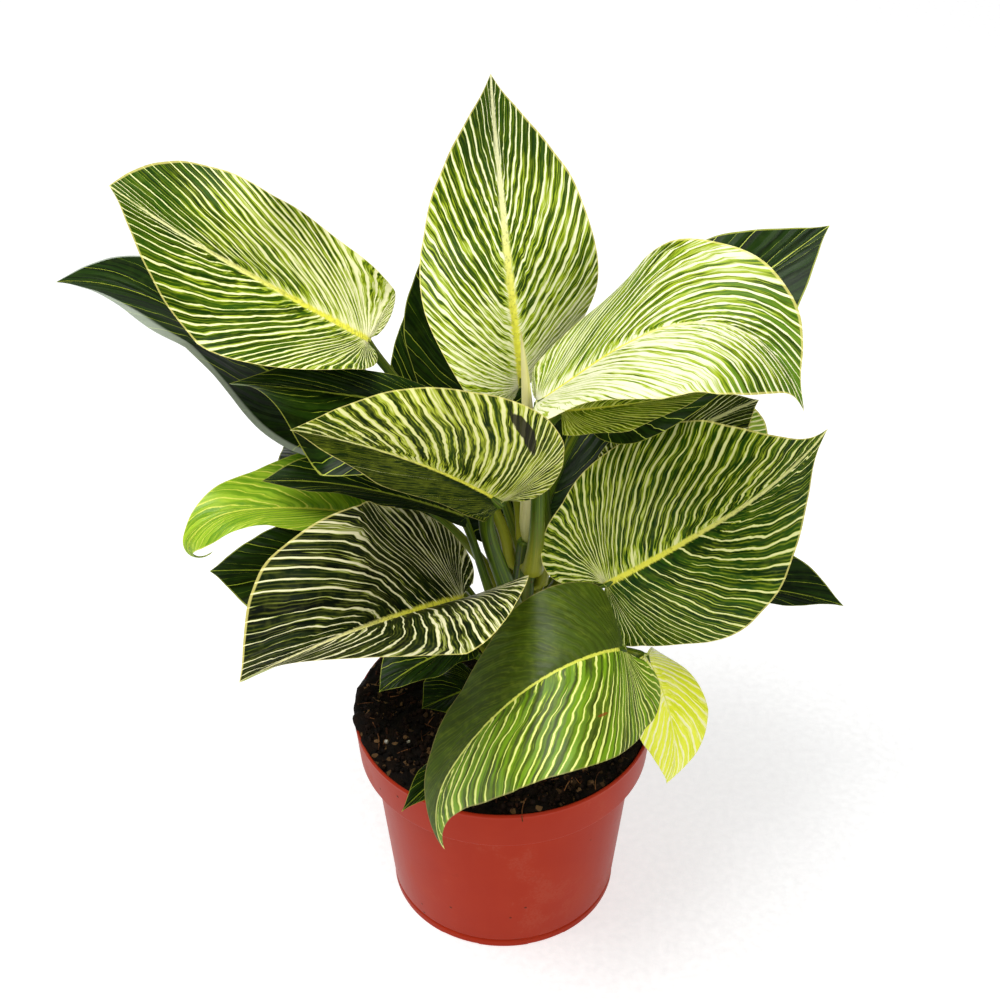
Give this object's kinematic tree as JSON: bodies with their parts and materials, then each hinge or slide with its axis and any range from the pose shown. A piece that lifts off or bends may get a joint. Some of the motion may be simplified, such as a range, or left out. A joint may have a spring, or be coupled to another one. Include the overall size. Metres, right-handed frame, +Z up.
{
  "type": "potted birkin philodendron",
  "caption": "Bushy aroid house plant with cream-striped pointed leaves on upright stalks, rooted in peat in a round stepped-collar plastic nursery pot that stands on its foot.",
  "frame": {"origin": "middle of the pot's underside, on the surface that the pot stands on", "axes": "+Z up, +X to the right of the plant's front, +Y away from the viewer"},
  "size_m": [0.3023, 0.2374, 0.3391],
  "materials": {
    "terracotta_plastic": "satin, moulded",
    "potting_soil": "rough, crumbly",
    "striped_leaf": "satin, cream stripes on green",
    "dark_leaf": "glossy, dark green",
    "olive_leaf": "glossy, olive green with stripes",
    "lime_leaf": "satin, lime green with pale veins",
    "green_stalk": "satin, olive green",
    "pale_spear": "satin, pale yellow"
  },
  "bodies": {
    "root": {"pot": "terracotta_plastic", "soil": "potting_soil", "stem": "green_stalk", "new_leaf_spear": "pale_spear", "top_blade": "striped_leaf", "top_stalk": "green_stalk", "upper_right_blade": "striped_leaf", "upper_right_stalk": "green_stalk", "upper_left_blade": "striped_leaf", "upper_left_stalk": "green_stalk", "far_left_blade": "dark_leaf", "far_left_stalk": "green_stalk", "left_shade_blade": "dark_leaf", "left_shade_stalk": "green_stalk", "centre_left_blade": "striped_leaf", "centre_left_stalk": "green_stalk", "mid_left_blade": "dark_leaf", "mid_left_stalk": "green_stalk", "curled_tip_blade": "lime_leaf", "curled_tip_stalk": "green_stalk", "low_left_shade_blade": "dark_leaf", "low_left_shade_stalk": "green_stalk", "lower_left_blade": "striped_leaf", "lower_left_stalk": "green_stalk", "right_blade": "striped_leaf", "right_stalk": "green_stalk", "front_blade": "olive_leaf", "front_stalk": "green_stalk", "young_lime_blade": "lime_leaf", "young_lime_stalk": "green_stalk", "back_right_blade": "dark_leaf", "back_right_stalk": "green_stalk", "right_striped_blade": "striped_leaf", "right_striped_stalk": "green_stalk", "right_wedge_blade": "striped_leaf", "right_wedge_stalk": "green_stalk", "right_pale_blade": "striped_leaf", "right_pale_stalk": "green_stalk", "back_centre_blade": "dark_leaf", "back_centre_stalk": "green_stalk", "low_right_blade": "dark_leaf", "low_right_stalk": "green_stalk", "back_left_tall_blade": "dark_leaf", "back_left_tall_stalk": "green_stalk", "back_left_blade": "dark_leaf", "back_left_stalk": "green_stalk", "small_front_left_blade": "dark_leaf", "small_front_left_stalk": "green_stalk", "dim_front_blade": "dark_leaf", "dim_front_stalk": "green_stalk", "small_rim_blade": "dark_leaf", "small_rim_stalk": "green_stalk", "rear_low_blade": "dark_leaf", "rear_low_stalk": "green_stalk", "rear_left_low_blade": "dark_leaf", "rear_left_low_stalk": "green_stalk", "rear_right_low_blade": "dark_leaf", "rear_right_low_stalk": "green_stalk"}
  },
  "joints": []
}
